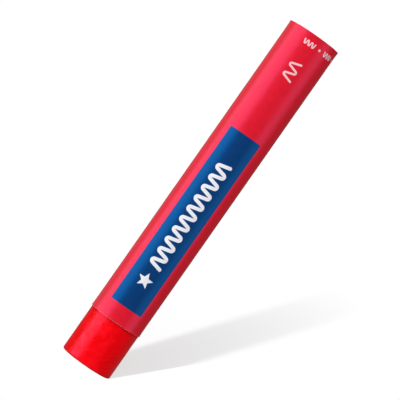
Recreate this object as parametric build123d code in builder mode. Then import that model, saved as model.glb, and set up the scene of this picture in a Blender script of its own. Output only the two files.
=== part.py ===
"""Round oil-pastel crayon: a cast stick of pigmented oil and wax in a rolled paper sleeve.

The frame: origin at the middle of the flat drawing face, +Z along the stick towards its
papered back end, and the printed panel faces -Y.  Sizes are in millimetres.
"""

from build123d import *
from math import cos, pi, radians, sin, sqrt
import os

os.makedirs("parts", exist_ok=True)

# ---------------------------------------------------------------- driving dimensions
overall_length = 76.5  # drawing face to the sleeve's back edge
sleeve_diameter = 11.0  # outside of the single-layer part of the sleeve
paper_thickness = 0.085  # coated label paper of about 100 g/m2
sleeve_clearance = 0.02  # radial gap in which the stick slides
bare_tip = 10.05  # stick left bare at the drawing end
back_recess = 0.4  # the stick's back end sits this far inside the sleeve
tip_rounding = 0.38
back_rounding = 0.25

overlap_width = 4.5  # where the rolled sheet lies on itself, at the back
ramp_width = 0.9  # where the sheet climbs from one layer to two
glue_thickness = 0.03
glue_width = 3.4
glue_end_margin = 1.2

ink_thickness = 0.03  # drawn thicker than real ink, so that the film is a sound solid
panel_length = 39.8
panel_width = 7.33
panel_above_sleeve_edge = 3.5

scribble_width = 0.7  # the pen stroke of the white zigzag
scribble_height = 3.04  # over the stroke's outer edges
scribble_bend = 0.4  # radius of the stroke's middle line at each turn
scribble_start = 22.75
scribble_pitch = 2.4  # one swing to each side
scribble_teeth = 10
star_height = 19.85
star_outer_radius = 1.62
star_inner_radius = 0.72
star_points = 5

wave_stroke = 0.4  # the short wavy mark near the back end
wave_height = 2.4
wave_bend = 0.3
wave_start = 66.2
wave_pitch = 2.1
wave_teeth = 2

band_height = 74.5  # the row of small waves and dots round the back end
band_pitch = 4.8
band_stroke = 0.28
band_wave_height = 1.1
band_wave_bend = 0.16
band_wave_pitch = 0.86
band_wave_teeth = 3
band_dot_size = 0.5
band_first_wave = -0.15  # arc from the panel's middle line to the first wave's middle
band_waves = 3

# ---------------------------------------------------------------- sizes that follow
sheet_outer = sleeve_diameter / 2
sheet_inner = sheet_outer - paper_thickness
stick_radius = sheet_inner - sleeve_clearance
second_inner = sheet_outer + glue_thickness
second_outer = second_inner + paper_thickness
sleeve_length = overall_length - bare_tip
stick_length = overall_length - back_recess
panel_start = bare_tip + panel_above_sleeve_edge
panel_end = panel_start + panel_length
panel_outer = sheet_outer + ink_thickness
mark_outer = panel_outer + ink_thickness

front = -90.0  # degrees round +Z: the side that the panel faces
back = 90.0


def arc_degrees(arc_length, radius=sheet_outer):
    """Angle that an arc of this length takes at this radius."""
    return arc_length / (2 * pi * radius) * 360


def around(radius, angle):
    """Point at this radius, at an angle in degrees round +Z."""
    return (radius * cos(radians(angle)), radius * sin(radians(angle)))


def ring_sector(inner, outer, start_angle, arc_angle):
    """Closed outline between two radii; goes inside a BuildLine."""
    end_angle = start_angle + arc_angle
    CenterArc((0, 0), inner, start_angle, arc_angle)
    CenterArc((0, 0), outer, start_angle, arc_angle)
    Line(around(inner, start_angle), around(outer, start_angle))
    Line(around(inner, end_angle), around(outer, end_angle))


def zigzag(start, pitch, teeth, height, stroke, bend):
    """Middle line of a stroke that swings from side to side up +Z; goes inside a BuildLine."""
    swing = (height - stroke) / 2  # the reach of each rounded turn
    rise = pitch / 2  # from one turn to the next
    # The legs meet at a corner outside the turn, where corner - swing = bend / sin(slope) - bend.
    flat = 1 - (2 * bend / rise) ** 2
    inside = swing - bend
    corner = (inside + sqrt(inside**2 - flat * (inside**2 - bend**2))) / flat
    cut = rise * (corner - swing) / (2 * corner)  # the end legs stop at the reach of the turns
    points = [(swing, start + cut)]
    points += [(corner * (-1) ** k, start + rise * k) for k in range(1, 2 * teeth)]
    points += [(swing, start + pitch * teeth - cut)]
    FilletPolyline(*points, radius=bend)


def ring(inner, outer):
    """Ring between two radii; goes inside a BuildSketch."""
    Circle(outer)
    Circle(inner, mode=Mode.SUBTRACT)


# ---------------------------------------------------------------- the pastel stick
with BuildPart() as pastel_stick:
    Cylinder(stick_radius, stick_length, align=(Align.CENTER, Align.CENTER, Align.MIN))
    fillet(pastel_stick.faces().sort_by(Axis.Z)[0].edges(), tip_rounding)
    fillet(pastel_stick.faces().sort_by(Axis.Z)[-1].edges(), back_rounding)

pastel_stick.part.label = "pastel_stick"

# ---------------------------------------------------------------- the rolled paper sleeve
overlap_angle = arc_degrees(overlap_width)
ramp_angle = arc_degrees(ramp_width)
seam_start = back - overlap_angle / 2  # the covered edge of the sheet
seam_end = back + overlap_angle / 2  # the free edge on the outside
round_angle = 360 - ramp_angle  # the part of the turn that lies on the stick

with BuildPart() as paper_sleeve:
    with BuildSketch(Plane.XY.offset(bare_tip)):
        with BuildLine():
            CenterArc((0, 0), sheet_inner, seam_start, round_angle)
            Line(around(sheet_inner, seam_start - ramp_angle), around(second_inner, seam_start))
            CenterArc((0, 0), second_inner, seam_start, overlap_angle)
            Line(around(second_inner, seam_end), around(second_outer, seam_end))
            CenterArc((0, 0), second_outer, seam_start, overlap_angle)
            Line(around(second_outer, seam_start), around(sheet_outer, seam_start - ramp_angle))
            CenterArc((0, 0), sheet_outer, seam_start, round_angle)
            Line(around(sheet_outer, seam_start), around(sheet_inner, seam_start))
        make_face()
    extrude(amount=sleeve_length)

paper_sleeve.part.label = "paper_sleeve"

# ---------------------------------------------------------------- the glue line in the seam
glue_angle = arc_degrees(glue_width)

with BuildPart() as seam_adhesive:
    with BuildSketch(Plane.XY.offset(bare_tip + glue_end_margin)):
        with BuildLine():
            ring_sector(sheet_outer, second_inner, back - glue_angle / 2, glue_angle)
        make_face()
    extrude(amount=sleeve_length - 2 * glue_end_margin)

seam_adhesive.part.label = "seam_adhesive"

# ---------------------------------------------------------------- the printed panel
panel_angle = arc_degrees(panel_width)

with BuildPart() as panel_ink:
    with BuildSketch(Plane.XY.offset(panel_start)):
        with BuildLine():
            ring_sector(sheet_outer, panel_outer, front - panel_angle / 2, panel_angle)
        make_face()
    extrude(amount=panel_length)

panel_ink.part.label = "panel_ink"

# ---------------------------------------------------------------- white marks on the panel
star_outline = []
for k in range(2 * star_points):
    radius = star_inner_radius if k % 2 else star_outer_radius
    turn = pi * k / star_points
    star_outline.append((radius * sin(turn), star_height + radius * cos(turn)))

with BuildPart() as panel_scribble:
    with BuildSketch(Plane.XZ):
        with BuildLine():
            zigzag(
                scribble_start,
                scribble_pitch,
                scribble_teeth,
                scribble_height,
                scribble_width,
                scribble_bend,
            )
        trace(line_width=scribble_width)
        with BuildLine():
            Polyline(*star_outline, close=True)
        make_face()
    extrude(amount=2 * sheet_outer)
    with BuildSketch(Plane.XY.offset(panel_start)) as mark_shell:
        ring(panel_outer, mark_outer)
    extrude(mark_shell.sketch, amount=panel_length, mode=Mode.INTERSECT)

panel_scribble.part.label = "panel_scribble"

# ---------------------------------------------------------------- wavy mark near the back end
with BuildPart() as wave_mark:
    with BuildSketch(Plane.XZ):
        with BuildLine():
            zigzag(wave_start, wave_pitch, wave_teeth, wave_height, wave_stroke, wave_bend)
        trace(line_width=wave_stroke)
    extrude(amount=2 * sheet_outer)
    with BuildSketch(Plane.XY.offset(panel_end)) as wave_shell:
        ring(sheet_outer, panel_outer)
    extrude(wave_shell.sketch, amount=overall_length - panel_end, mode=Mode.INTERSECT)

wave_mark.part.label = "wave_mark"

# ---------------------------------------------------------------- waves and dots round the back end
band_wave_length = band_wave_pitch * band_wave_teeth
band_foot = band_height - band_wave_height
band_reach = 2 * band_wave_height  # more than the marks take along +Z


def facing_out(arc_length):
    """Plane through the axis whose normal points out at this arc from the panel's middle line."""
    angle = front + arc_degrees(arc_length)
    return Plane((0, 0, band_height), x_dir=(0, 0, 1), z_dir=(*around(1, angle), 0))


with BuildPart() as band_marks:
    for k in range(band_waves):
        wave_middle = band_first_wave + k * band_pitch
        with BuildSketch(facing_out(wave_middle)):
            with BuildLine():
                zigzag(
                    -band_wave_length / 2,
                    band_wave_pitch,
                    band_wave_teeth,
                    band_wave_height,
                    band_stroke,
                    band_wave_bend,
                )
            trace(line_width=band_stroke)
        with BuildSketch(facing_out(wave_middle + band_pitch / 2)):
            Circle(band_dot_size / 2)
    extrude(amount=2 * sheet_outer)
    with BuildSketch(Plane.XY.offset(band_foot)) as band_shell:
        ring(sheet_outer, panel_outer)
    extrude(band_shell.sketch, amount=band_reach, mode=Mode.INTERSECT)

band_marks.part.label = "band_marks"

# ---------------------------------------------------------------- write the pieces
for piece in (
    pastel_stick,
    paper_sleeve,
    seam_adhesive,
    panel_ink,
    panel_scribble,
    wave_mark,
    band_marks,
):
    export_step(piece.part, f"parts/{piece.part.label}.step")
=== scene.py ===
"""Looks of a round oil-pastel crayon in a rolled paper sleeve, laid out as a Blender add-on."""

import math

import bpy
from bpy.props import FloatProperty, FloatVectorProperty, IntProperty, PointerProperty
from mathutils import Matrix, Vector, noise


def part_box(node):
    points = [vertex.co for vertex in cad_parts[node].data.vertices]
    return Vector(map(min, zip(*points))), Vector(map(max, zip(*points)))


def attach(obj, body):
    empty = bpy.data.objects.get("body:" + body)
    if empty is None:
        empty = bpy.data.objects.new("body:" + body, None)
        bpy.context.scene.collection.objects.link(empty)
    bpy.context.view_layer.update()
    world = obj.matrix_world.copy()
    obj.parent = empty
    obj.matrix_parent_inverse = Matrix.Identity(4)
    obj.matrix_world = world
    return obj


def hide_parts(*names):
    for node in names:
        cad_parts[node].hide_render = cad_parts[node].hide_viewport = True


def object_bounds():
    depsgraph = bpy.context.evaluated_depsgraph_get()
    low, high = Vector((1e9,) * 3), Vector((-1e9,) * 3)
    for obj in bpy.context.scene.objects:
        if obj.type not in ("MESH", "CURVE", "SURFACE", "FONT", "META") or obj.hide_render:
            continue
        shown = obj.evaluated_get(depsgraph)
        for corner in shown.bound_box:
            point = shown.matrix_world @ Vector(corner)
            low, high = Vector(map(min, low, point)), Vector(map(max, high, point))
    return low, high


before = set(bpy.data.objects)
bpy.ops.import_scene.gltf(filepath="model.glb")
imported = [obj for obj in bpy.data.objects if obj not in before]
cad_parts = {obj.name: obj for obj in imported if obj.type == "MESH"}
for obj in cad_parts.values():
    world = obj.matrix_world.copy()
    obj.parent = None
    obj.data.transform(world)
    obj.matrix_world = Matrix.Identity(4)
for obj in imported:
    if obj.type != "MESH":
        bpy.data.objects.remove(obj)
cad_low, cad_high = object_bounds()

bl_info = {
    "name": "Oil-pastel crayon",
    "version": (1, 0, 0),
    "blender": (4, 5, 0),
    "location": "3D View > Sidebar > Crayon",
    "description": "Makes the wax stick, the rolled paper sleeve and its print",
    "category": "Object",
}

MM = 0.001

stick_low, stick_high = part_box("pastel_stick")
sleeve_low, sleeve_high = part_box("paper_sleeve")
panel_low, panel_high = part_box("panel_ink")

STICK_RADIUS = stick_high.x
SHEET_RADIUS = sleeve_high.x  # outside of the single layer
SEAM_RADIUS = sleeve_high.y  # outside of the second layer
SLEEVE_EDGE = sleeve_low.z  # the edge beside the bare tip
SLEEVE_BACK = sleeve_high.z

RIGHT_ANGLE = math.pi / 2
WHITE = (1.0, 1.0, 1.0, 1.0)


# ------------------------------------------------------------------ what a user would change


class PastelSettings(bpy.types.PropertyGroup):
    """The stick of pigmented oil and wax."""

    edge_round: FloatProperty(
        name="Drawing edge",
        description="Radius of the rounded edge round the drawing face",
        default=0.38 * MM,
        unit="LENGTH",
        precision=5,
    )
    back_round: FloatProperty(
        name="Back edge",
        description="Radius of the edge round the papered end",
        default=0.25 * MM,
        unit="LENGTH",
        precision=5,
    )
    unevenness: FloatProperty(
        name="Unevenness",
        description="How far the cast surface dips below a true cylinder",
        default=0.035 * MM,
        unit="LENGTH",
        precision=6,
    )
    nicks: FloatProperty(
        name="Edge nicks",
        description="Depth of the small chips along the drawing edge",
        default=0.09 * MM,
        unit="LENGTH",
        precision=6,
    )
    colour: FloatVectorProperty(
        name="Pastel red",
        description="Colour of the pigmented wax",
        default=(0.84, 0.0, 0.001),
        subtype="COLOR",
        size=3,
        min=0.0,
        max=1.0,
    )


class PaperSettings(bpy.types.PropertyGroup):
    """The label sheet rolled round the stick."""

    thickness: FloatProperty(
        name="Paper thickness",
        description="Thickness of the coated label paper",
        default=0.085 * MM,
        unit="LENGTH",
        precision=6,
    )
    overlap: FloatProperty(
        name="Overlap",
        description="Width over which the sheet lies on itself",
        default=4.5 * MM,
        unit="LENGTH",
        precision=5,
    )
    climb: FloatProperty(
        name="Climb",
        description="Width over which the sheet rises onto its own edge",
        default=0.9 * MM,
        unit="LENGTH",
        precision=5,
    )
    ripple: FloatProperty(
        name="Ripple",
        description="Height of the slow waves in the rolled sheet",
        default=0.012 * MM,
        unit="LENGTH",
        precision=6,
    )
    flare: FloatProperty(
        name="Edge flare",
        description="How far the cut edges stand off the stick",
        default=0.065 * MM,
        unit="LENGTH",
        precision=6,
    )
    colour: FloatVectorProperty(
        name="Sleeve red",
        description="Colour of the red ground printed on the paper",
        default=(0.66, 0.006, 0.014),
        subtype="COLOR",
        size=3,
        min=0.0,
        max=1.0,
    )
    core: FloatVectorProperty(
        name="Paper core",
        description="Colour of the unprinted paper at its edges and inside",
        default=(0.86, 0.58, 0.58),
        subtype="COLOR",
        size=3,
        min=0.0,
        max=1.0,
    )


class PrintSettings(bpy.types.PropertyGroup):
    """The blue panel and the white marks."""

    ink: FloatProperty(
        name="Ink film",
        description="Thickness of each layer of ink",
        default=0.006 * MM,
        unit="LENGTH",
        precision=6,
    )
    corner: FloatProperty(
        name="Panel corner",
        description="Radius of the panel's corners",
        default=0.22 * MM,
        unit="LENGTH",
        precision=5,
    )
    stroke: FloatProperty(
        name="Zigzag stroke",
        description="Width of the white stroke on the panel",
        default=0.7 * MM,
        unit="LENGTH",
        precision=5,
    )
    swing: FloatProperty(
        name="Zigzag height",
        description="Height of the zigzag over the stroke's outer edges",
        default=3.04 * MM,
        unit="LENGTH",
        precision=5,
    )
    pitch: FloatProperty(
        name="Zigzag pitch",
        description="Length along the crayon of one swing to each side",
        default=2.4 * MM,
        unit="LENGTH",
        precision=5,
    )
    bend: FloatProperty(
        name="Zigzag bend",
        description="Radius of the stroke's middle line at each turn",
        default=0.4 * MM,
        unit="LENGTH",
        precision=5,
    )
    teeth: IntProperty(
        name="Zigzag teeth",
        description="How often the stroke swings to each side",
        default=10,
        min=1,
    )
    star: FloatProperty(
        name="Star",
        description="From the star's middle to its points",
        default=1.62 * MM,
        unit="LENGTH",
        precision=5,
    )
    gap: FloatProperty(
        name="Star to zigzag",
        description="From the star's middle to the start of the zigzag",
        default=2.9 * MM,
        unit="LENGTH",
        precision=5,
    )
    blue: FloatVectorProperty(
        name="Panel blue",
        description="Colour of the printed panel",
        default=(0.004, 0.029, 0.122),
        subtype="COLOR",
        size=3,
        min=0.0,
        max=1.0,
    )
    white: FloatVectorProperty(
        name="Mark white",
        description="Colour of the white marks on the panel",
        default=(0.76, 0.77, 0.83),
        subtype="COLOR",
        size=3,
        min=0.0,
        max=1.0,
    )
    rosy: FloatVectorProperty(
        name="Small mark white",
        description="Colour of the small marks, whose thin lines take some red from the sleeve",
        default=(0.84, 0.50, 0.55),
        subtype="COLOR",
        size=3,
        min=0.0,
        max=1.0,
    )


class StageSettings(bpy.types.PropertyGroup):
    """Camera, lights and floor."""

    distance: FloatProperty(
        name="Camera distance",
        description="From the camera to the crayon's axis",
        default=425.2 * MM,
        unit="LENGTH",
        precision=4,
    )
    height: FloatProperty(
        name="Camera height",
        description="Along the crayon's axis, above the drawing face",
        default=41.03 * MM,
        unit="LENGTH",
        precision=4,
    )
    aim: FloatProperty(
        name="Aim height",
        description="Where on the crayon's axis the camera points",
        default=38.29 * MM,
        unit="LENGTH",
        precision=4,
    )
    turn: FloatProperty(
        name="Camera turn",
        description="Angle from the panel's middle line to the camera",
        default=math.radians(-1.75),
        subtype="ANGLE",
    )
    lean: FloatProperty(
        name="Crayon lean",
        description="How far the crayon leans to the right from upright in the picture",
        default=math.radians(34.98),
        subtype="ANGLE",
    )
    lens: FloatProperty(
        name="Focal length",
        description="Focal length on a sensor 36 mm wide",
        default=199.3,
        unit="CAMERA",
    )
    tilt: FloatProperty(
        name="Camera tilt",
        description="How steeply the camera looks down on the floor",
        default=math.radians(26.0),
        subtype="ANGLE",
    )


# ------------------------------------------------------------------ mesh helpers


def new_piece(name, points, faces, materials, slots=None, sharp=math.radians(35)):
    """Mesh object with smooth faces and sharp edges where the surface turns sharply."""
    mesh = bpy.data.meshes.new(name)
    mesh.from_pydata(points, [], faces)
    mesh.validate()
    mesh.polygons.foreach_set("use_smooth", [True] * len(mesh.polygons))
    for material in materials:
        mesh.materials.append(material)
    if slots:
        mesh.polygons.foreach_set("material_index", slots)
    mesh.set_sharp_from_angle(angle=sharp)
    mesh.update()
    piece = bpy.data.objects.new(name, mesh)
    bpy.context.scene.collection.objects.link(piece)
    return piece


def ease(x):
    """Rises smoothly from 0 to 1 while x goes from 0 to 1."""
    x = min(1.0, max(0.0, x))
    return x * x * (3 - 2 * x)


def spread(start, end, count):
    """Evenly spaced values from start to end."""
    return [start + (end - start) * k / (count - 1) for k in range(count)]


def at_turn(radius, turn, height):
    """Point at an angle round +Z from the front (-Y), growing towards +X."""
    return (radius * math.sin(turn), -radius * math.cos(turn), height)


def unit_noise(place):
    """Smooth noise from 0 to 1."""
    return 0.5 + 0.5 * noise.noise(place)


# ------------------------------------------------------------------ the rolled sheet's surface

RIPPLE_LENGTH = 7 * MM
RIPPLE_STRETCH = 0.45  # below 1, the ripples are longer along the crayon than round it
RIPPLES_UNTIL, RIPPLES_FADE = 0.9, 0.1  # shares of the way from the front to the climb
FLARE_REACH = 0.45 * MM


class Sheet:
    """The rolled sheet: one turn round the stick, a climb, and a second layer at the back."""

    def __init__(self, paper):
        self.paper = paper
        self.half_overlap = paper.overlap / SHEET_RADIUS / 2
        self.end = math.pi + self.half_overlap
        self.climb_end = math.pi - self.half_overlap
        self.climb_start = self.climb_end - paper.climb / SHEET_RADIUS

    def lift(self, turn, height):
        """Outward waves and flared edges, gone where the layers lie on each other."""
        fade = RIPPLES_FADE * self.climb_start
        calm = 1 - ease((abs(turn) - RIPPLES_UNTIL * self.climb_start) / fade)
        edge = min(height - SLEEVE_EDGE, SLEEVE_BACK - height)
        flare = self.paper.flare * math.exp(-edge / FLARE_REACH)
        around = Vector((math.sin(turn), math.cos(turn), 0.0)) * SHEET_RADIUS
        around.z = height * RIPPLE_STRETCH
        return calm * (self.paper.ripple * unit_noise(around / RIPPLE_LENGTH) + flare)

    def point(self, turn, height, depth=0.0):
        """Point at a depth below the outer face; a negative depth is above it."""
        step = (SEAM_RADIUS - SHEET_RADIUS) * ease(
            (turn - self.climb_start) / (self.climb_end - self.climb_start)
        )
        return at_turn(SHEET_RADIUS + step + self.lift(turn, height) - depth, turn, height)


# ------------------------------------------------------------------ flat shapes for the print
# Each is a pair: points as (arc round the sleeve, height), and faces.

CORNER_STEPS = 7  # points along each quarter turn
STROKE_STEP = 0.12 * MM  # the longest step along a stroke
BLUNT_TIP = 0.02  # how wide a stroke's round end stays at its very tip


def rounded_rectangle(width, low, high, corner, columns=40, rows=150):
    """Upright rectangle with round corners."""
    bends = spread(0.0, RIGHT_ANGLE, CORNER_STEPS)
    heights = [low + corner * (1 - math.cos(b)) for b in bends]
    heights += spread(low + corner, high - corner, rows)[1:-1]
    heights += [high - corner * (1 - math.cos(b)) for b in reversed(bends)]
    points = []
    for height in heights:
        into = max(0.0, corner - min(height - low, high - height))
        half = width / 2 - corner + math.sqrt(corner**2 - into**2)
        points += [(arc, height) for arc in spread(-half, half, columns)]
    return points, grid_faces(len(heights), columns)


def grid_faces(rows, columns):
    """Quads of a grid whose points run along each row in turn."""
    return [
        (r * columns + c, r * columns + c + 1, (r + 1) * columns + c + 1, (r + 1) * columns + c)
        for r in range(rows - 1)
        for c in range(columns - 1)
    ]


def rounded_path(corners, bend, steps=9):
    """The line through these corners, with an arc of radius bend at each."""
    path = [Vector(corners[0])]
    for before, corner, after in zip(corners, corners[1:], corners[2:]):
        corner = Vector(corner)
        back = (Vector(before) - corner).normalized()
        ahead = (Vector(after) - corner).normalized()
        half = back.angle(ahead) / 2
        middle = corner + (back + ahead).normalized() * (bend / math.sin(half))
        start = corner + back * (bend / math.tan(half))
        spoke = start - middle
        turn = (math.pi - 2 * half) * (1 if back.cross(ahead) < 0 else -1)
        for angle in spread(0.0, turn, steps):
            path.append(middle + Matrix.Rotation(angle, 2) @ spoke)
    return path + [Vector(corners[-1])]


def stroke(corners, width, bend=0.0, columns=6):
    """Ribbon of even width along a line, with round ends."""
    path = rounded_path(corners, bend) if bend else [Vector(c) for c in corners]
    dense = [path[0]]
    for a, b in zip(path, path[1:]):
        count = max(1, math.ceil((b - a).length / STROKE_STEP))
        dense += [a.lerp(b, k / count) for k in range(1, count + 1)]
    half = width / 2
    first = (dense[1] - dense[0]).normalized()
    last = (dense[-1] - dense[-2]).normalized()
    cap = [
        (half * math.cos(angle), half * math.sin(angle))
        for angle in spread(0.0, RIGHT_ANGLE, CORNER_STEPS)[:-1]
    ]
    stations = [(dense[0] - first * beyond, first, reach) for beyond, reach in cap]
    for k, here in enumerate(dense):
        ahead = dense[min(k + 1, len(dense) - 1)] - dense[max(k - 1, 0)]
        stations.append((here, ahead.normalized(), half))
    stations += [(dense[-1] + last * beyond, last, reach) for beyond, reach in reversed(cap)]
    points = []
    for here, ahead, reach in stations:
        side = Vector((-ahead.y, ahead.x)) * max(reach, half * BLUNT_TIP)
        points += [tuple(here + side * s) for s in spread(1.0, -1.0, columns)]
    return points, grid_faces(len(stations), columns)


def fan(middle, outline, rings=5):
    """Filled shape whose outline is all in sight of its middle."""
    middle, count = Vector(middle), len(outline)
    points = [tuple(middle)]
    for ring in range(1, rings + 1):
        points += [tuple(middle.lerp(Vector(p), ring / rings)) for p in outline]
    faces = [(0, 1 + k, 1 + (k + 1) % count) for k in range(count)]
    for ring in range(rings - 1):
        low, high = 1 + ring * count, 1 + (ring + 1) * count
        for k in range(count):
            beside = (k + 1) % count
            faces.append((low + k, high + k, high + beside, low + beside))
    return points, faces


def spot_round(middle, radius, turn):
    """Flat point at an angle round a middle, counted from straight up the crayon."""
    return (middle[0] + radius * math.sin(turn), middle[1] + radius * math.cos(turn))


def star(middle, outer, inner, tips=5, steps=5):
    """Five-pointed star with one tip up the crayon."""
    corners = [
        Vector(spot_round(middle, inner if k % 2 else outer, math.pi * k / tips))
        for k in range(2 * tips)
    ]
    outline = []
    for a, b in zip(corners, corners[1:] + corners[:1]):
        outline += [a.lerp(b, k / steps) for k in range(steps)]
    return fan(middle, outline)


def disc(middle, radius, corners=24):
    """Filled round dot."""
    turns = [2 * math.pi * k / corners for k in range(corners)]
    return fan(middle, [spot_round(middle, radius, turn) for turn in turns])


def zigzag(middle, pitch, teeth, height, width, bend):
    """Corners of a stroke that swings from side to side up the crayon."""
    swing = (height - width) / 2  # the reach of each rounded turn
    rise = pitch / 2
    start = middle - rise * teeth
    # The legs meet at a corner outside the turn, where corner - swing = bend / sin(slope) - bend.
    flat = 1 - (2 * bend / rise) ** 2
    inside = swing - bend
    corner = (inside + math.sqrt(inside**2 - flat * (inside**2 - bend**2))) / flat
    cut = rise * (corner - swing) / (2 * corner)
    turns = [(corner * (-1) ** k, start + rise * k) for k in range(1, 2 * teeth)]
    return [(swing, start + cut)] + turns + [(swing, start + pitch * teeth - cut)]


def ink_film(name, shapes, sheet, above, thickness, material):
    """Closed films of ink that follow the sheet's outer face."""
    points, faces = [], []
    for flat, quads in shapes:
        base, count = len(points), len(flat)
        for height_above in (above + thickness, above):
            points += [
                sheet.point(arc / SHEET_RADIUS, height, -height_above) for arc, height in flat
            ]
        edges = dict.fromkeys((a, b) for quad in quads for a, b in zip(quad, quad[1:] + quad[:1]))
        faces += [tuple(base + v for v in quad) for quad in quads]
        faces += [tuple(base + count + v for v in reversed(quad)) for quad in quads]
        rim = [(a, b) for a, b in edges if (b, a) not in edges]
        faces += [(base + b, base + a, base + count + a, base + count + b) for a, b in rim]
    return new_piece(name, points, faces, [material])


# ------------------------------------------------------------------ materials
# Noise scales are in waves per metre, and bump depths in metres.

SATIN = (0.33, 0.39)  # roughness of coated paper, from its glossier to its duller spots


def new_material(name):
    """Material with nothing but its shader; returns the material, its node tree and the shader."""
    material = bpy.data.materials.new(name)
    material.use_nodes = True
    tree = material.node_tree
    tree.nodes.clear()
    output = tree.nodes.new("ShaderNodeOutputMaterial")
    shader = tree.nodes.new("ShaderNodeBsdfPrincipled")
    tree.links.new(shader.outputs["BSDF"], output.inputs["Surface"])
    return material, tree, shader


def add(tree, kind, inputs=None, **settings):
    """Node with its settings; inputs are values, colours or other nodes' outputs."""
    node = tree.nodes.new(kind)
    for key, value in settings.items():
        setattr(node, key, value)
    for key, value in (inputs or {}).items():
        if isinstance(value, bpy.types.NodeSocket):
            tree.links.new(value, node.inputs[key])
        else:
            node.inputs[key].default_value = value
    return node


def stretched(tree, scale):
    """Object coordinates, stretched."""
    place = add(tree, "ShaderNodeTexCoord")
    return add(
        tree, "ShaderNodeMapping", {"Vector": place.outputs["Object"], "Scale": scale}
    ).outputs["Vector"]


def noise_of(tree, scale, detail=2.0, vector=None, rough=0.5):
    """Noise factor."""
    vector = vector or stretched(tree, (1, 1, 1))
    return add(
        tree,
        "ShaderNodeTexNoise",
        {"Vector": vector, "Scale": scale, "Detail": detail, "Roughness": rough},
    ).outputs["Fac"]


def ranged(tree, value, span, to=(0.0, 1.0)):
    """Value mapped from a span to another and held inside it."""
    limits = {"From Min": span[0], "From Max": span[1], "To Min": to[0], "To Max": to[1]}
    return add(tree, "ShaderNodeMapRange", {"Value": value, **limits}).outputs["Result"]


def mixed(tree, factor, one, two):
    """Colour between two colours."""
    node = add(tree, "ShaderNodeMix", data_type="RGBA")
    for key, value in ((0, factor), (6, one), (7, two)):
        if isinstance(value, bpy.types.NodeSocket):
            tree.links.new(value, node.inputs[key])
        else:
            node.inputs[key].default_value = value
    return node.outputs[2]


def rgba(colour, gain=1.0):
    """Four-channel colour, brightened or darkened."""
    return tuple(min(1.0, c * gain) for c in colour) + (1.0,)


def bumps(tree, *layers):
    """Normal from several heights, each (height, depth)."""
    normal = None
    for height, depth in layers:
        inputs = {"Height": height, "Strength": 1.0, "Distance": depth}
        if normal:
            inputs["Normal"] = normal
        normal = add(tree, "ShaderNodeBump", inputs).outputs["Normal"]
    return normal


def coated_paper(name, colour, tint):
    """Satin coated paper with ink: faint mottle, fibre grain and uneven gloss."""
    material, tree, shader = new_material(name)
    mottle = noise_of(tree, scale=900.0, detail=3.0)
    fibres = noise_of(tree, scale=5200.0, detail=3.0, vector=stretched(tree, (1, 1, 0.35)))
    tooth = noise_of(tree, scale=14000.0, detail=2.0)
    patches = ranged(tree, mottle, (0.3, 0.7))
    ink = mixed(tree, patches, rgba(colour, 0.96), rgba(colour, 1.04))
    thin_ink = ranged(tree, fibres, (0.35, 0.75), to=(0.0, 0.10))
    ink = mixed(tree, thin_ink, ink, rgba(colour, 1.25))
    tree.links.new(ink, shader.inputs["Base Color"])
    tree.links.new(ranged(tree, mottle, (0.25, 0.75), to=SATIN), shader.inputs["Roughness"])
    normal = bumps(tree, (fibres, 0.0025 * MM), (tooth, 0.0012 * MM))
    tree.links.new(normal, shader.inputs["Normal"])
    shader.inputs["IOR"].default_value = 1.6
    shader.inputs["Specular IOR Level"].default_value = 1.0
    shader.inputs["Specular Tint"].default_value = rgba(tint)
    return material


def bare_paper(name, colour):
    """Unprinted stock: matt, fibrous and a little stained by the ink."""
    material, tree, shader = new_material(name)
    fibres = noise_of(tree, scale=9000.0, detail=4.0, vector=stretched(tree, (1, 1, 0.4)))
    pulp = ranged(tree, fibres, (0.3, 0.7))
    pulp = mixed(tree, pulp, rgba(colour, 0.82), rgba(colour, 1.05))
    tree.links.new(pulp, shader.inputs["Base Color"])
    matt = ranged(tree, fibres, (0.3, 0.7), to=(0.75, 0.95))
    tree.links.new(matt, shader.inputs["Roughness"])
    tree.links.new(bumps(tree, (fibres, 0.006 * MM)), shader.inputs["Normal"])
    return material


def pastel_wax(name, colour):
    """Oily wax: deep pigment, a blotchy handled sheen, drag lines from the mould and pores."""
    material, tree, shader = new_material(name)
    cloud = noise_of(tree, scale=560.0, detail=5.0, rough=0.62)
    grain = noise_of(tree, scale=3600.0, detail=3.0)
    drag = noise_of(tree, scale=1500.0, detail=3.0, vector=stretched(tree, (1, 1, 0.15)))
    pores = add(
        tree,
        "ShaderNodeTexVoronoi",
        {"Vector": stretched(tree, (1, 1, 1)), "Scale": 2300.0},
        feature="F1",
    ).outputs["Distance"]
    pigment = ranged(tree, cloud, (0.35, 0.7))
    body = mixed(tree, pigment, rgba(colour, 0.90), rgba(colour, 1.05))
    specks = ranged(tree, grain, (0.45, 0.75), to=(0.0, 0.15))
    body = mixed(tree, specks, body, rgba(colour, 0.8))
    tree.links.new(body, shader.inputs["Base Color"])
    blotch = ranged(tree, cloud, (0.40, 0.60), to=(0.17, 0.36))
    dulled = ranged(tree, grain, (0.35, 0.65), to=(0.0, 0.09))
    sheen = add(tree, "ShaderNodeMath", {0: blotch, 1: dulled}, operation="ADD").outputs[0]
    tree.links.new(sheen, shader.inputs["Roughness"])
    pits = ranged(tree, pores, (0.0, 0.3))
    normal = bumps(
        tree, (cloud, 0.085 * MM), (drag, 0.010 * MM), (grain, 0.011 * MM), (pits, 0.004 * MM)
    )
    tree.links.new(normal, shader.inputs["Normal"])
    shader.inputs["IOR"].default_value = 1.5
    shader.inputs["Specular IOR Level"].default_value = 1.0
    shader.inputs["Specular Tint"].default_value = (1.0, 0.11, 0.24, 1.0)
    return material


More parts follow.
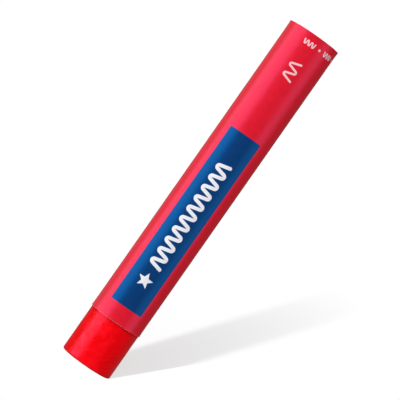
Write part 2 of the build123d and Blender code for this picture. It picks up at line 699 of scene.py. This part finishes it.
def dried_glue(name):
    """Clear, slightly yellow paper glue."""
    material, tree, shader = new_material(name)
    streaks = noise_of(tree, scale=2600.0, detail=3.0, vector=stretched(tree, (1, 1, 0.2)))
    tint = mixed(tree, streaks, (0.78, 0.72, 0.56, 1.0), (0.90, 0.87, 0.76, 1.0))
    tree.links.new(tint, shader.inputs["Base Color"])
    gloss = ranged(tree, streaks, (0.3, 0.7), to=(0.2, 0.45))
    tree.links.new(gloss, shader.inputs["Roughness"])
    tree.links.new(bumps(tree, (streaks, 0.004 * MM)), shader.inputs["Normal"])
    return material


# ------------------------------------------------------------------ the pieces

STICK_AROUND = 288  # points round the stick
DRAWING_FACE_STEPS, DRAWING_EDGE_STEPS = 30, 12
SIDE_STEPS, BACK_EDGE_STEPS, BACK_FACE_STEPS = 190, 8, 20
RIM_POWER = 6  # how closely the dips keep to the side, away from the end faces
DIP_LENGTH, FINE_DIP_LENGTH, FINE_DIP_SHARE = 3.2 * MM, 0.7 * MM, 0.3
CHIP_LENGTH, FINE_CHIP_LENGTH, FINE_CHIP_SHARE = 0.9 * MM, 0.35 * MM, 0.5
CHIP_FROM, FINE_CHIP_FROM = 0.12, 0.1  # noise above which the edge is chipped
CHIP_SHIFT = Vector((7.0, 3.0, 5.0))  # keeps the chips apart from the dips
CHIP_REACH = 1.1  # how far the chips go up the side, in edge radii
SLIMMEST = 0.1 * MM  # points nearer the axis than this are pressed in as if at it


class CRAYON_OT_pastel_stick(bpy.types.Operator):
    """Make the cast stick, with its worn drawing edge and cut faces"""

    bl_idname = "crayon.pastel_stick"
    bl_label = "Pastel stick"

    def execute(self, context):
        wax = context.scene.crayon_pastel
        profile = self.profile(wax)
        around = STICK_AROUND
        points, faces = [], []
        for radius, height in profile:
            if radius == 0.0:
                points.append((0.0, 0.0, height))
                continue
            for k in range(around):
                points.append(self.surface(wax, radius, height, 2 * math.pi * k / around))
        rings = len(profile) - 2
        last = 1 + rings * around
        for k in range(around):
            beside = (k + 1) % around
            faces.append((0, 1 + beside, 1 + k))
            faces.append((last, last - around + k, last - around + beside))
            for ring in range(rings - 1):
                low, high = 1 + ring * around, 1 + (ring + 1) * around
                faces.append((low + k, low + beside, high + beside, high + k))
        finish = pastel_wax("pastel_wax", wax.colour)
        piece = new_piece("wax_stick", points, faces, [finish], sharp=math.radians(60))
        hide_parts("pastel_stick")
        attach(piece, "stick")
        return {"FINISHED"}

    def profile(self, wax):
        """(radius, height) from the middle of the drawing face to the middle of the back."""
        low, high = stick_low.z, stick_high.z
        front, rear = wax.edge_round, wax.back_round
        flat = spread(0.0, STICK_RADIUS - front, DRAWING_FACE_STEPS)
        profile = [(radius, low) for radius in flat]
        for angle in spread(0.0, RIGHT_ANGLE, DRAWING_EDGE_STEPS)[1:]:
            radius = STICK_RADIUS - front * (1 - math.sin(angle))
            profile.append((radius, low + front * (1 - math.cos(angle))))
        side = spread(low + front, high - rear, SIDE_STEPS)[1:]
        profile += [(STICK_RADIUS, height) for height in side]
        for angle in spread(0.0, RIGHT_ANGLE, BACK_EDGE_STEPS)[1:]:
            radius = STICK_RADIUS - rear * (1 - math.cos(angle))
            profile.append((radius, high - rear * (1 - math.sin(angle))))
        flat = spread(STICK_RADIUS - rear, 0.0, BACK_FACE_STEPS)[1:]
        return profile + [(radius, high) for radius in flat]

    def surface(self, wax, radius, height, turn):
        """Point of the stick, pressed in a little from the true shape."""
        x, y, z = at_turn(radius, turn, height)
        place = Vector((x, y, z))
        rim = (radius / STICK_RADIUS) ** RIM_POWER
        dip = wax.unevenness * unit_noise(place / DIP_LENGTH)
        dip += FINE_DIP_SHARE * wax.unevenness * unit_noise(place / FINE_DIP_LENGTH)
        up_side = (height - stick_low.z) / (CHIP_REACH * wax.edge_round)
        near_edge = math.exp(-(up_side**2)) * rim
        chip = max(0.0, noise.noise(place / CHIP_LENGTH + CHIP_SHIFT) - CHIP_FROM)
        fine = noise.noise(place / FINE_CHIP_LENGTH) - FINE_CHIP_FROM
        chip += FINE_CHIP_SHARE * max(0.0, fine)
        inward = rim * dip + near_edge * wax.nicks * chip
        upward = (1 - rim) * dip if height < STICK_RADIUS else -(1 - rim) * dip
        upward += near_edge * wax.nicks * chip
        shrink = max(0.0, 1 - inward / max(radius, SLIMMEST))
        return (x * shrink, y * shrink, z + upward)


# How finely the sheet is divided: its one turn, its climb and its second layer, and its length.
TURN_STEPS, CLIMB_STEPS, LAYER_STEPS, LENGTH_STEPS = 300, 16, 36, 84
EDGE_ROWS = [0.0, 0.06 * MM, 0.15 * MM, 0.3 * MM, 0.5 * MM, 0.8 * MM, 1.2 * MM]
FIRST_EVEN_ROW = 1.7 * MM
BEVEL_DEPTH, BEVEL_HEIGHT = 0.3, 0.25  # of the cut edges, as shares of the thickness
RAG_HEIGHT, RAG_WAVES = 0.006 * MM, 22.0  # unevenness of the cut, and its waves per radian
PRINTED, BARE = 0, 1  # the sheet's materials


class CRAYON_OT_paper_sleeve(bpy.types.Operator):
    """Make the rolled sheet: printed outside, bare inside and at its cut edges"""

    bl_idname = "crayon.paper_sleeve"
    bl_label = "Paper sleeve"

    def execute(self, context):
        paper = context.scene.crayon_paper
        sheet = Sheet(paper)
        turns = spread(-sheet.end, sheet.climb_start, TURN_STEPS)
        turns += spread(sheet.climb_start, sheet.climb_end, CLIMB_STEPS)[1:]
        turns += spread(sheet.climb_end, sheet.end, LAYER_STEPS)[1:]
        rows = self.rows(paper)
        outer = [(height, 0.0) for height in rows]
        inner = [(height, paper.thickness) for height in reversed(rows)]
        bevel = BEVEL_DEPTH * paper.thickness
        section = [(SLEEVE_EDGE, bevel)] + outer
        section += [(SLEEVE_BACK, bevel), (SLEEVE_BACK, paper.thickness)]
        section += inner + [(SLEEVE_EDGE, paper.thickness)]
        printed = len(outer) - 1
        points, faces, slots = [], [], []
        count = len(section)
        for turn in turns:
            rag = RAG_HEIGHT * noise.noise(Vector((turn * RAG_WAVES, 0.0, 3.0)))
            for height, depth in section:
                at_edge = height in (SLEEVE_EDGE, SLEEVE_BACK)
                points.append(sheet.point(turn, height + (rag if at_edge else 0.0), depth))
        for t in range(len(turns) - 1):
            for k in range(count):
                a, b = t * count + k, t * count + (k + 1) % count
                faces.append((a, a + count, b + count, b))
                slots.append(PRINTED if 1 <= k <= printed else BARE)
        # The section's outer and inner halves mirror each other, so a ladder closes each end.
        ladder = count // 2
        for base, flip in ((0, False), ((len(turns) - 1) * count, True)):
            for k in range(ladder - 1):
                quad = (base + k, base + k + 1, base + count - 2 - k, base + (count - 1 - k))
                faces.append(tuple(reversed(quad)) if flip else quad)
                slots.append(BARE)
        finishes = [
            coated_paper("red_printed_paper", paper.colour, (1.0, 0.15, 0.38)),
            bare_paper("bare_paper", paper.core),
        ]
        piece = new_piece("rolled_sheet", points, faces, finishes, slots)
        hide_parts("paper_sleeve")
        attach(piece, "sleeve")
        return {"FINISHED"}

    def rows(self, paper):
        """Heights of the sheet's rows, close together at both cut edges."""
        bevel = BEVEL_HEIGHT * paper.thickness
        low, high = SLEEVE_EDGE + bevel, SLEEVE_BACK - bevel
        rows = [low + step for step in EDGE_ROWS]
        rows += spread(low + FIRST_EVEN_ROW, high - FIRST_EVEN_ROW, LENGTH_STEPS)
        return rows + [high - step for step in reversed(EDGE_ROWS)]


class CRAYON_OT_seam_adhesive(bpy.types.Operator):
    """Give the glue line inside the overlap its material"""

    bl_idname = "crayon.seam_adhesive"
    bl_label = "Seam adhesive"

    def execute(self, context):
        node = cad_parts["seam_adhesive"]
        glue = dried_glue("dried_glue")
        if not node.material_slots:
            node.data.materials.append(None)
        for place in node.material_slots:
            place.link = "OBJECT"
            place.material = glue
        return {"FINISHED"}


class CRAYON_OT_panel_ink(bpy.types.Operator):
    """Make the blue panel printed along the front"""

    bl_idname = "crayon.panel_ink"
    bl_label = "Blue panel"

    def execute(self, context):
        ink = context.scene.crayon_print
        half_turn = math.asin(panel_high.x / -panel_low.y)
        width = 2 * half_turn * SHEET_RADIUS
        shape = rounded_rectangle(width, panel_low.z, panel_high.z, ink.corner)
        sheet = Sheet(context.scene.crayon_paper)
        blue = coated_paper("blue_print", ink.blue, (0.0, 0.33, 1.0))
        piece = ink_film("blue_panel", [shape], sheet, 0.0, ink.ink, blue)
        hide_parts("panel_ink")
        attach(piece, "sleeve")
        return {"FINISHED"}


STAR_WAIST = 0.445  # the star's inner corners, as a share of its points' reach
WAVE_STROKE, WAVE_BEND, WAVE_PITCH, WAVE_TEETH = 0.4 * MM, 0.3 * MM, 2.1 * MM, 2
BAND_WAVES, BAND_PITCH = 3, 4.8 * MM  # the row round the back end, from wave to wave
BAND_SHIFT = 0.15 * MM  # the first wave's middle, to the left of the panel's middle line
BAND_STROKE, BAND_BEND, BAND_WAVE_PITCH, BAND_TEETH = 0.28 * MM, 0.16 * MM, 0.86 * MM, 3
DOT_RADIUS = 0.25 * MM


class CRAYON_OT_white_marks(bpy.types.Operator):
    """Make the plain white marks: star and zigzag, short wave, and the row round the back"""

    bl_idname = "crayon.white_marks"
    bl_label = "White marks"

    def execute(self, context):
        ink = context.scene.crayon_print
        sheet = Sheet(context.scene.crayon_paper)
        white = coated_paper("white_print", ink.white, (1.0, 1.0, 1.0))
        rosy = coated_paper("rosy_print", ink.rosy, (1.0, 0.7, 0.8))
        for name, node, above, finish, shapes in (
            ("panel_marks", "panel_scribble", ink.ink, white, self.on_panel(ink)),
            ("wave", "wave_mark", 0.0, rosy, self.wave()),
            ("band", "band_marks", 0.0, rosy, self.band()),
        ):
            piece = ink_film(name, shapes, sheet, above, ink.ink, finish)
            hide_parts(node)
            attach(piece, "sleeve")
        return {"FINISHED"}

    def on_panel(self, ink):
        """The star, and the zigzag that follows it up the crayon."""
        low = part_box("panel_scribble")[0]
        heart = low.z + ink.star * math.cos(math.pi / 5)  # the two lower points touch the box
        middle = heart + ink.gap + ink.pitch * ink.teeth / 2
        line = zigzag(middle, ink.pitch, ink.teeth, ink.swing, ink.stroke, ink.bend)
        return [
            star((0.0, heart), ink.star, STAR_WAIST * ink.star),
            stroke(line, ink.stroke, ink.bend),
        ]

    def wave(self):
        """The short wave near the back end."""
        low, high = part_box("wave_mark")
        middle, width = (low.z + high.z) / 2, high.x - low.x
        line = zigzag(middle, WAVE_PITCH, WAVE_TEETH, width, WAVE_STROKE, WAVE_BEND)
        return [stroke(line, WAVE_STROKE, WAVE_BEND)]

    def band(self):
        """The row of small waves and dots round the back end."""
        low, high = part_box("band_marks")
        height, row = (low.z + high.z) / 2, high.z - low.z
        shapes = []
        for k in range(BAND_WAVES):
            middle = BAND_PITCH * k - BAND_SHIFT
            line = zigzag(0.0, BAND_WAVE_PITCH, BAND_TEETH, row, BAND_STROKE, BAND_BEND)
            line = [(middle - along, height + up) for up, along in line]
            shapes.append(stroke(line, BAND_STROKE, BAND_BEND))
            shapes.append(disc((middle + BAND_PITCH / 2, height), DOT_RADIUS))
        return shapes


# ------------------------------------------------------------------ camera, lights and floor

# The soft lights, as the crayon's middle sees them, in degrees: how far round the crayon to the
# left of the camera, how far up along it, and how wide across and along; then the radiance, and
# "INCLUDE" with the only pieces that the lamp lights, or "EXCLUDE" with those that it doesn't.
SOFTBOXES = (
    ("broad_softbox", 69, 0, 68, 30, 2.9, "EXCLUDE", ("floor", "wax_stick")),
    ("outer_softbox", 132, 0, 58, 30, 0.25, "EXCLUDE", ("floor", "wax_stick")),
    ("side_strip", -66, 0, 36, 40, 1.25, "EXCLUDE", ("floor", "wax_stick")),
    ("top_softbox", 20, 66, 44, 26, 6.2, "EXCLUDE", ("floor",)),
    ("wax_softbox", 63, 0, 50, 30, 3.3, "INCLUDE", ("wax_stick",)),
    ("wax_fill", -35, 60, 60, 30, 2.5, "INCLUDE", ("wax_stick",)),
    ("back_fill", 180, 58, 80, 36, 2.4, "EXCLUDE", ("floor",)),
    ("floor_strip", 50.5, 61, 3, 46, 97.0, "INCLUDE", ("floor",)),
)
LAMP_DISTANCE = 1.5

FRONT_GLOW_TURN = 10  # degrees to the left of the camera
ROOM_DIM, ROOM_BRIGHT = 0.12, 4.0
BACKDROP = 1.0

FLOOR_START = 2.1 * MM  # from under the lowest rim towards the camera
FLOOR_REACH, FLOOR_RINGS, FLOOR_AROUND = 0.28, 6, 40
FLOOR_FROM = math.radians(-13)  # the floor's lower edge, from the line along the crayon
FLOOR_GREY, FLOOR_GLOW = (0.2, 0.2, 0.2, 1.0), 0.68


def placed(x_axis, y_axis, z_axis, place):
    """Matrix that puts an object at a place, with its axes along these directions."""
    turned = Matrix((x_axis, y_axis, z_axis)).transposed()
    return Matrix.Translation(place) @ turned.to_4x4()


class CRAYON_OT_stage(bpy.types.Operator):
    """Make the camera, the soft lights and the pale floor"""

    bl_idname = "crayon.stage"
    bl_label = "Stage"

    def execute(self, context):
        stage = context.scene.crayon_stage
        up, backward = self.camera(context, stage)
        normal = (math.cos(stage.tilt) * up + math.sin(stage.tilt) * backward).normalized()
        lit = {"floor": self.floor(normal), "wax_stick": bpy.data.objects["wax_stick"]}
        self.world(context, self.heading(stage, FRONT_GLOW_TURN, 0))
        for name, turn, lean, across, along, radiance, state, pieces in SOFTBOXES:
            lamp = self.softbox(context, stage, name, turn, lean, across, along, radiance)
            self.light(lamp, state, [lit[piece] for piece in pieces])
        view = context.scene.view_settings
        view.view_transform = "Standard"
        view.look = "None"
        return {"FINISHED"}

    def heading(self, stage, turn, lean):
        """Direction from degrees to the left of the camera and degrees up along the crayon."""
        turn, lean = math.radians(turn), math.radians(lean)
        around = stage.turn - turn
        flat = Vector((math.sin(around), -math.cos(around), 0.0))
        return flat * math.cos(lean) + Vector((0.0, 0.0, math.sin(lean)))

    def softbox(self, context, stage, name, turn, lean, across, along, radiance):
        """Soft light that spans these angles as seen from the crayon's middle."""
        toward = self.heading(stage, turn, lean)
        width = 2 * LAMP_DISTANCE * math.tan(math.radians(across) / 2)
        length = 2 * LAMP_DISTANCE * math.tan(math.radians(along) / 2)
        data = bpy.data.lights.new(name, "AREA")
        data.shape = "RECTANGLE"
        data.size, data.size_y = width, length
        data.energy = radiance * math.pi * width * length
        lamp = bpy.data.objects.new(name, data)
        side = Vector((0.0, 0.0, 1.0)).cross(toward).normalized()
        upright = toward.cross(side)
        place = toward * LAMP_DISTANCE + Vector((0.0, 0.0, (cad_low.z + cad_high.z) / 2))
        lamp.matrix_world = placed(side, upright, toward, place)
        context.scene.collection.objects.link(lamp)
        return lamp

    def light(self, lamp, state, pieces):
        """Let the lamp light only these pieces, or everything but them."""
        lit = bpy.data.collections.new(lamp.name + "_lights")
        for piece in pieces:
            lit.objects.link(piece)
        for link in lit.collection_objects:
            link.light_linking.link_state = state
        lamp.light_linking.receiver_collection = lit

    def camera(self, context, stage):
        """Camera in front of the panel; returns its up and backward directions."""
        away = Vector((math.sin(stage.turn), -math.cos(stage.turn), 0.0))
        place = away * stage.distance + Vector((0.0, 0.0, stage.height))
        backward = (place - Vector((0.0, 0.0, stage.aim))).normalized()
        level = Vector((0.0, 0.0, 1.0)).cross(backward).normalized()
        upright = backward.cross(level)
        right = math.cos(stage.lean) * level + math.sin(stage.lean) * upright
        up = backward.cross(right)
        data = bpy.data.cameras.new("camera")
        data.lens = stage.lens
        data.sensor_width = 36.0
        camera = bpy.data.objects.new("camera", data)
        camera.matrix_world = placed(right, up, backward, place)
        context.scene.collection.objects.link(camera)
        context.scene.camera = camera
        return up, backward

    def floor(self, normal):
        """Pale floor that starts under the lowest rim of the leaning crayon."""
        upward = Vector((0.0, 0.0, 1.0))
        side = (normal - normal.dot(upward) * upward).normalized()
        touch = upward * stick_low.z - side * STICK_RADIUS
        along = (upward - upward.dot(normal) * normal).normalized()
        across = normal.cross(along)
        start = touch - across * FLOOR_START
        points = [tuple(start)]
        for ring in range(1, FLOOR_RINGS + 1):
            for angle in spread(FLOOR_FROM, RIGHT_ANGLE, FLOOR_AROUND):
                spot = along * math.cos(angle) + across * math.sin(angle)
                points.append(tuple(start + spot * FLOOR_REACH * ring / FLOOR_RINGS))
        faces = [(0, 1 + k, 2 + k) for k in range(FLOOR_AROUND - 1)]
        for ring in range(FLOOR_RINGS - 1):
            low, high = 1 + ring * FLOOR_AROUND, 1 + (ring + 1) * FLOOR_AROUND
            for k in range(FLOOR_AROUND - 1):
                faces.append((low + k, high + k, high + k + 1, low + k + 1))
        piece = new_piece("floor", points, faces, [self.floor_finish()])
        return piece

    def floor_finish(self):
        """White from above, clear from below, and clear to the light that falls on the crayon."""
        material = bpy.data.materials.new("pale_floor")
        material.use_nodes = True
        tree = material.node_tree
        tree.nodes.clear()
        output = tree.nodes.new("ShaderNodeOutputMaterial")
        path = add(tree, "ShaderNodeLightPath")
        under = add(tree, "ShaderNodeNewGeometry").outputs["Backfacing"]
        pale = add(tree, "ShaderNodeBsdfDiffuse", {"Color": FLOOR_GREY})
        glow = add(tree, "ShaderNodeEmission", {"Color": WHITE, "Strength": FLOOR_GLOW})
        bright = add(tree, "ShaderNodeAddShader", {0: pale.outputs[0], 1: glow.outputs[0]})
        clear = add(tree, "ShaderNodeBsdfTransparent").outputs[0]
        above = add(
            tree,
            "ShaderNodeMixShader",
            {0: path.outputs["Is Camera Ray"], 1: clear, 2: bright.outputs[0]},
        ).outputs[0]
        both = add(tree, "ShaderNodeMixShader", {0: under, 1: above, 2: clear}).outputs[0]
        tree.links.new(both, output.inputs["Surface"])
        return material

    def world(self, context, front):
        """White backdrop, and a dim room with broad glows in front, above and below."""
        world = bpy.data.worlds.new("studio")
        context.scene.world = world
        world.use_nodes = True
        tree = world.node_tree
        tree.nodes.clear()
        output = add(tree, "ShaderNodeOutputWorld")
        heading = add(tree, "ShaderNodeTexCoord").outputs["Generated"]
        facing = add(
            tree, "ShaderNodeVectorMath", {0: heading, 1: tuple(front)}, operation="DOT_PRODUCT"
        ).outputs["Value"]
        lobe = add(tree, "ShaderNodeMath", {0: facing, 1: 0.0}, operation="MAXIMUM").outputs[0]
        level = add(tree, "ShaderNodeSeparateXYZ", {0: heading}).outputs["Z"]
        steep = add(tree, "ShaderNodeMath", {0: level, 1: level}, operation="MULTIPLY").outputs[0]
        lobe = add(tree, "ShaderNodeMath", {0: lobe, 1: steep}, operation="MULTIPLY").outputs[0]
        glow = ranged(tree, lobe, (0.0, 1.0), to=(ROOM_DIM, ROOM_BRIGHT))
        room = add(tree, "ShaderNodeBackground", {"Color": WHITE, "Strength": glow}).outputs[0]
        backdrop = add(tree, "ShaderNodeBackground", {"Color": WHITE, "Strength": BACKDROP})
        seen = add(tree, "ShaderNodeLightPath").outputs["Is Camera Ray"]
        both = add(tree, "ShaderNodeMixShader", {0: seen, 1: room, 2: backdrop.outputs[0]})
        tree.links.new(both.outputs[0], output.inputs["Surface"])


# ------------------------------------------------------------------ panel and registration


class CRAYON_PT_make(bpy.types.Panel):
    """Buttons for each piece of the crayon and for the stage"""

    bl_idname = "CRAYON_PT_make"
    bl_label = "Crayon"
    bl_space_type = "VIEW_3D"
    bl_region_type = "UI"
    bl_category = "Crayon"

    def draw(self, context):
        """One button for each maker, and the settings below."""
        for maker in MAKERS:
            self.layout.operator(maker.bl_idname)
        for settings in SETTINGS:
            box = self.layout.box()
            group = getattr(context.scene, settings)
            for name in group.__annotations__:
                box.prop(group, name)


MAKERS = (
    CRAYON_OT_pastel_stick,
    CRAYON_OT_paper_sleeve,
    CRAYON_OT_seam_adhesive,
    CRAYON_OT_panel_ink,
    CRAYON_OT_white_marks,
    CRAYON_OT_stage,
)

SETTINGS = {
    "crayon_pastel": PastelSettings,
    "crayon_paper": PaperSettings,
    "crayon_print": PrintSettings,
    "crayon_stage": StageSettings,
}


def register():
    """Add the settings, the operators and the panel to Blender."""
    for settings, group in SETTINGS.items():
        bpy.utils.register_class(group)
        setattr(bpy.types.Scene, settings, PointerProperty(type=group))
    for maker in MAKERS:
        bpy.utils.register_class(maker)
    bpy.utils.register_class(CRAYON_PT_make)


def unregister():
    """Take them out again, in the opposite order."""
    bpy.utils.unregister_class(CRAYON_PT_make)
    for maker in reversed(MAKERS):
        bpy.utils.unregister_class(maker)
    for settings, group in reversed(SETTINGS.items()):
        delattr(bpy.types.Scene, settings)
        bpy.utils.unregister_class(group)


def main():
    register()
    bpy.ops.crayon.pastel_stick()
    bpy.ops.crayon.paper_sleeve()
    bpy.ops.crayon.seam_adhesive()
    bpy.ops.crayon.panel_ink()
    bpy.ops.crayon.white_marks()
    bpy.ops.crayon.stage()


if __name__ == "__main__":
    main()
